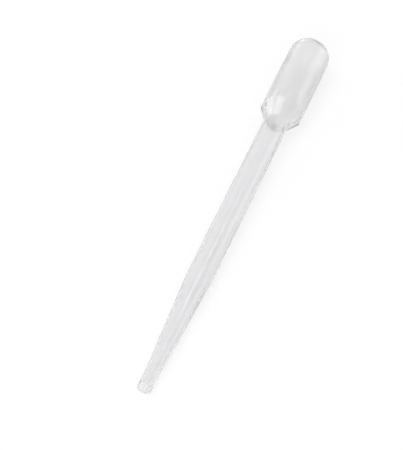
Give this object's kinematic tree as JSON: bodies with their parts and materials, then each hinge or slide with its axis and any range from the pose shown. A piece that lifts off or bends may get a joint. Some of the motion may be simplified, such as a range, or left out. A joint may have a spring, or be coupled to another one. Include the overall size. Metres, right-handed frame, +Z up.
{
  "type": "plastic dropper pipette",
  "caption": "Disposable transfer pipette blown in one piece: a domed squeeze bulb, a ribbed shoulder, a straight stem and a long taper to an open tip.",
  "frame": {"origin": "middle of the footprint, on the surface that the pipette lies on", "axes": "+X runs from the open tip to the bulb, +Z is up; the pipette lies on its side, its own axis rising 2.1 degrees towards the bulb"},
  "size_m": [0.155, 0.0136, 0.0142],
  "materials": {
    "translucent_plastic": "satin, translucent, natural low-density polyethylene"
  },
  "bodies": {
    "root": {"pipette": "translucent_plastic"}
  },
  "joints": []
}
